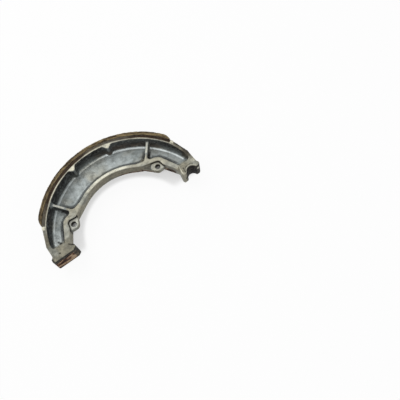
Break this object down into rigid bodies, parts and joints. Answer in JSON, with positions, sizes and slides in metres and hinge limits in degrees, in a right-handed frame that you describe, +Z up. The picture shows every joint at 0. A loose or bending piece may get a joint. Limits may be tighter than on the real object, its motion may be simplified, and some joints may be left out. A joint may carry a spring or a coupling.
{
  "type": "brake shoe",
  "caption": "Worn drum brake shoe: a die-cast aluminium crescent with a bonded friction lining, a flat cam foot, a half-round pivot seat and ears for the return springs.",
  "frame": {"origin": "drum axis, at the level of the side face that the shoe lies on", "axes": "+Z up along the drum axis, +X towards the pivot end, +Y towards the middle of the lining"},
  "size_m": [0.1483, 0.0744, 0.028],
  "materials": {
    "cast_aluminium": "die-cast, grimy, with rust stains at the cam face",
    "friction_compound": "worn resin-bonded compound, dusty"
  },
  "bodies": {
    "root": {"shoe_casting": "cast_aluminium", "friction_lining": "friction_compound"}
  },
  "joints": []
}
